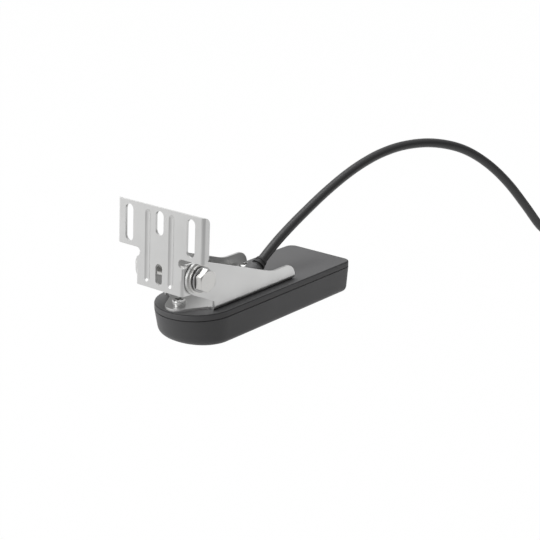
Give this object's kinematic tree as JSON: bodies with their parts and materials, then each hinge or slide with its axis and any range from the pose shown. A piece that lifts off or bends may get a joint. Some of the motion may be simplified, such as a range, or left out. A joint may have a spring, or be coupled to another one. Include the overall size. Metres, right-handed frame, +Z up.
{
  "type": "sonar transducer",
  "caption": "Transom-mount sonar transducer: flat round-nosed housing under a folded steel bracket that tilts on a bolt in a slotted plate, with a coiled cable and a round plug.",
  "frame": {"origin": "centre of the housing's flat underside", "axes": "+X from the round nose towards the square tail, +Z up from the underside, +Y to the nut's side of the pivot bolt"},
  "size_m": [0.5538, 0.116, 0.0851],
  "materials": {
    "housing_plastic": "fine matt grain",
    "cover_plastic": "fine matt grain",
    "seal_rubber": "matt",
    "sheet_steel": "fine brushed",
    "bolt_steel": "bright, turned",
    "screw_steel": "bright",
    "brass": "plain",
    "ceramic": "fired, with a silvered face",
    "foam": "open-pored",
    "board": "lacquered",
    "boot_rubber": "matt",
    "cable_jacket": "satin",
    "tie_fabric": "woven",
    "plug_plastic": "moulded",
    "insert_plastic": "smooth"
  },
  "bodies": {
    "transducer": {"housing": "housing_plastic", "top_cover": "cover_plastic", "cover_seal": "seal_rubber", "screw_inserts": "brass", "sonar_disc": "ceramic", "disc_backing": "foam", "scan_bar": "ceramic", "bar_backing": "foam", "circuit_board": "board", "temperature_probe": "brass", "transducer_bracket": "sheet_steel", "nose_screw": "screw_steel", "nose_washer": "screw_steel", "rear_screws": "screw_steel", "rear_washers": "screw_steel", "pivot_bolt": "bolt_steel", "bolt_washer": "bolt_steel", "spring_washer": "bolt_steel", "pivot_nut": "bolt_steel", "strain_relief": "boot_rubber", "cable": "cable_jacket", "cable_coil": "cable_jacket", "cable_tail": "cable_jacket", "coil_tie": "tie_fabric", "connector_body": "plug_plastic", "connector_insert": "insert_plastic", "connector_contacts": "brass", "connector_seal": "seal_rubber"},
    "transom_bracket": {"transom_bracket": "sheet_steel"},
    "locking_collar": {"locking_collar": "plug_plastic"}
  },
  "joints": [
    {"name": "bracket_tilt", "type": "hinge", "parent": "transducer", "child": "transom_bracket", "pos_m": [-0.065, 0, 0.044], "axis": [0, 1, 0], "range_deg": [-30, 90]},
    {"name": "collar_turn", "type": "hinge", "parent": "transducer", "child": "locking_collar", "pos_m": [0.46, -0.038, 0.0392], "axis": [0, 1, 0], "continuous": true}
  ]
}
